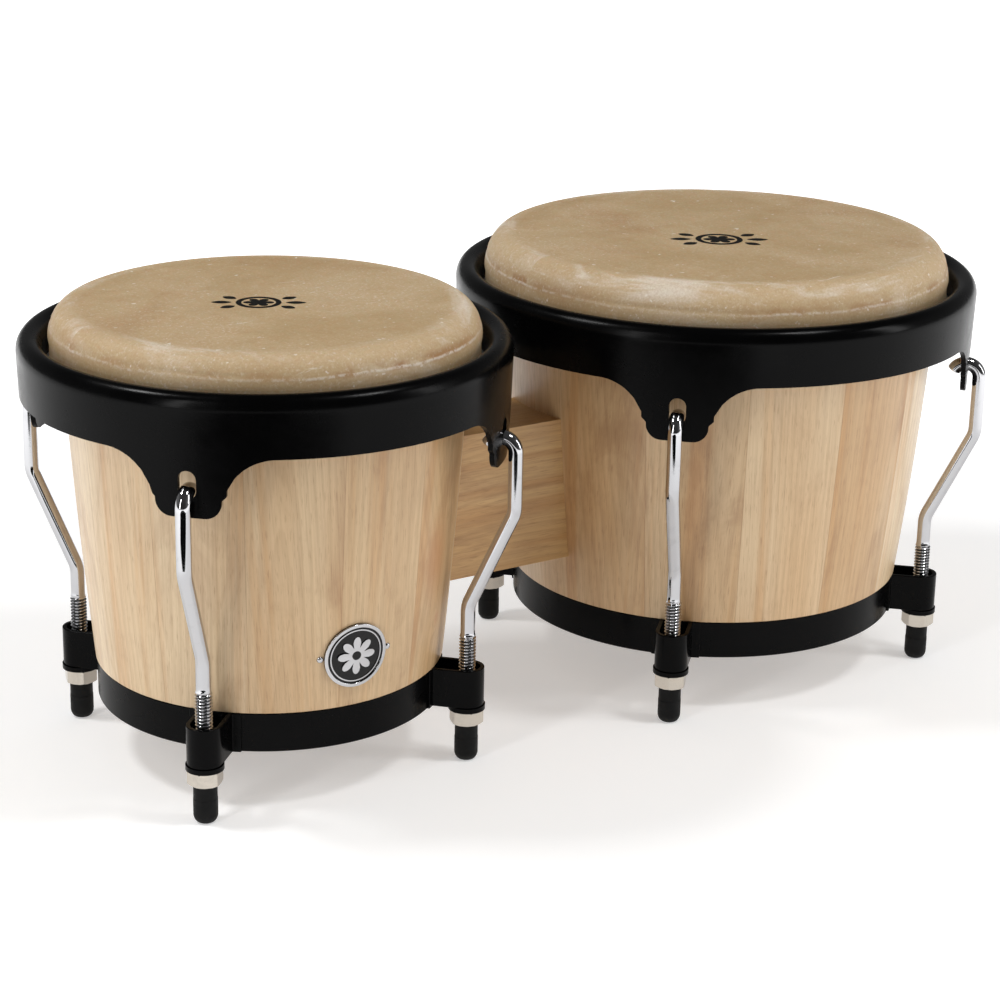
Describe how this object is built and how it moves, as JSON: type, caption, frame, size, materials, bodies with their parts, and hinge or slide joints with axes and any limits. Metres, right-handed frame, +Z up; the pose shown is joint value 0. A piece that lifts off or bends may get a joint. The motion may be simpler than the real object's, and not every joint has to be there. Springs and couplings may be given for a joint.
{
  "type": "bongo drums",
  "caption": "Pair of wooden hand drums on a centre block, with rawhide heads, pressed rims, hooked tuning rods and rubber feet.",
  "frame": {"origin": "on the floor, under the middle of the pair's bounding box", "axes": "+X from the small drum to the large drum, +Y to the back, +Z up along the drums' axes"},
  "size_m": [0.4478, 0.235, 0.1959],
  "materials": {
    "macho_shell_wood": "clear satin lacquer over pale, straight-grained staves",
    "hembra_shell_wood": "clear satin lacquer over pale, straight-grained staves",
    "block_wood": "clear satin lacquer over pale hardwood, grain along the block",
    "rawhide": "smooth tanned rawhide, mottled, with a paler stretched shoulder",
    "hoop_steel": "plain zinc",
    "black_enamel": "satin black powder coat",
    "rod_chrome": "polished chrome, rolled thread",
    "nickel_plate": "warm nickel plate",
    "cap_rubber": "matt black rubber",
    "zinc_plate": "zinc plate",
    "badge_enamel": "black enamel field in a polished border",
    "tack_chrome": "polished"
  },
  "bodies": {
    "drums": {"macho_shell": "macho_shell_wood", "macho_head": "rawhide", "macho_bottom_ring": "black_enamel", "macho_washer_1": "black_enamel", "macho_washer_2": "black_enamel", "macho_washer_3": "black_enamel", "macho_washer_4": "black_enamel", "hembra_shell": "hembra_shell_wood", "hembra_head": "rawhide", "hembra_bottom_ring": "black_enamel", "hembra_washer_1": "black_enamel", "hembra_washer_2": "black_enamel", "hembra_washer_3": "black_enamel", "hembra_washer_4": "black_enamel", "centre_block": "block_wood", "upper_tie_bolt": "zinc_plate", "lower_tie_bolt": "zinc_plate", "macho_tie_washers": "zinc_plate", "hembra_tie_washers": "zinc_plate", "tie_nuts": "nickel_plate", "badge_plate": "badge_enamel", "badge_tacks": "tack_chrome"},
    "macho_tuning": {"macho_flesh_hoop": "hoop_steel", "macho_rim": "black_enamel", "macho_rod_1": "rod_chrome", "macho_rod_2": "rod_chrome", "macho_rod_3": "rod_chrome", "macho_rod_4": "rod_chrome", "macho_foot_1": "cap_rubber", "macho_foot_2": "cap_rubber", "macho_foot_3": "cap_rubber", "macho_foot_4": "cap_rubber"},
    "hembra_tuning": {"hembra_flesh_hoop": "hoop_steel", "hembra_rim": "black_enamel", "hembra_rod_1": "rod_chrome", "hembra_rod_2": "rod_chrome", "hembra_rod_3": "rod_chrome", "hembra_rod_4": "rod_chrome", "hembra_foot_1": "cap_rubber", "hembra_foot_2": "cap_rubber", "hembra_foot_3": "cap_rubber", "hembra_foot_4": "cap_rubber"},
    "macho_nut_1_body": {"macho_nut_1": "nickel_plate"},
    "macho_nut_2_body": {"macho_nut_2": "nickel_plate"},
    "macho_nut_3_body": {"macho_nut_3": "nickel_plate"},
    "macho_nut_4_body": {"macho_nut_4": "nickel_plate"},
    "hembra_nut_1_body": {"hembra_nut_1": "nickel_plate"},
    "hembra_nut_2_body": {"hembra_nut_2": "nickel_plate"},
    "hembra_nut_3_body": {"hembra_nut_3": "nickel_plate"},
    "hembra_nut_4_body": {"hembra_nut_4": "nickel_plate"}
  },
  "joints": [
    {"name": "macho_tension", "type": "slide", "parent": "drums", "child": "macho_tuning", "axis": [0, 0, -1], "range_m": [0, 0.0028]},
    {"name": "macho_nut_1_turn", "type": "hinge", "parent": "drums", "child": "macho_nut_1_body", "pos_m": [-0.06139, 0.06035, 0.0199], "axis": [0, 0, 1], "range_deg": [0, 720.5]},
    {"name": "macho_nut_2_turn", "type": "hinge", "parent": "drums", "child": "macho_nut_2_body", "pos_m": [-0.18315, 0.06141, 0.0199], "axis": [0, 0, 1], "range_deg": [0, 720.5]},
    {"name": "macho_nut_3_turn", "type": "hinge", "parent": "drums", "child": "macho_nut_3_body", "pos_m": [-0.18421, -0.06035, 0.0199], "axis": [0, 0, 1], "range_deg": [0, 720.5]},
    {"name": "macho_nut_4_turn", "type": "hinge", "parent": "drums", "child": "macho_nut_4_body", "pos_m": [-0.06245, -0.06141, 0.0199], "axis": [0, 0, 1], "range_deg": [0, 720.5]},
    {"name": "hembra_tension", "type": "slide", "parent": "drums", "child": "hembra_tuning", "axis": [0, 0, -1], "range_m": [0, 0.0028]},
    {"name": "hembra_nut_1_turn", "type": "hinge", "parent": "drums", "child": "hembra_nut_1_body", "pos_m": [0.17751, 0.07312, 0.0199], "axis": [0, 0, 1], "range_deg": [0, 720.5]},
    {"name": "hembra_nut_2_turn", "type": "hinge", "parent": "drums", "child": "hembra_nut_2_body", "pos_m": [0.03328, 0.07111, 0.0199], "axis": [0, 0, 1], "range_deg": [0, 720.5]},
    {"name": "hembra_nut_3_turn", "type": "hinge", "parent": "drums", "child": "hembra_nut_3_body", "pos_m": [0.03529, -0.07312, 0.0199], "axis": [0, 0, 1], "range_deg": [0, 720.5]},
    {"name": "hembra_nut_4_turn", "type": "hinge", "parent": "drums", "child": "hembra_nut_4_body", "pos_m": [0.17952, -0.07111, 0.0199], "axis": [0, 0, 1], "range_deg": [0, 720.5]}
  ],
  "couplings": [
    {"joint": "macho_nut_1_turn", "follows": "macho_tension", "rad_per_m": 4488},
    {"joint": "macho_nut_2_turn", "follows": "macho_tension", "rad_per_m": 4488},
    {"joint": "macho_nut_3_turn", "follows": "macho_tension", "rad_per_m": 4488},
    {"joint": "macho_nut_4_turn", "follows": "macho_tension", "rad_per_m": 4488},
    {"joint": "hembra_nut_1_turn", "follows": "hembra_tension", "rad_per_m": 4488},
    {"joint": "hembra_nut_2_turn", "follows": "hembra_tension", "rad_per_m": 4488},
    {"joint": "hembra_nut_3_turn", "follows": "hembra_tension", "rad_per_m": 4488},
    {"joint": "hembra_nut_4_turn", "follows": "hembra_tension", "rad_per_m": 4488}
  ]
}
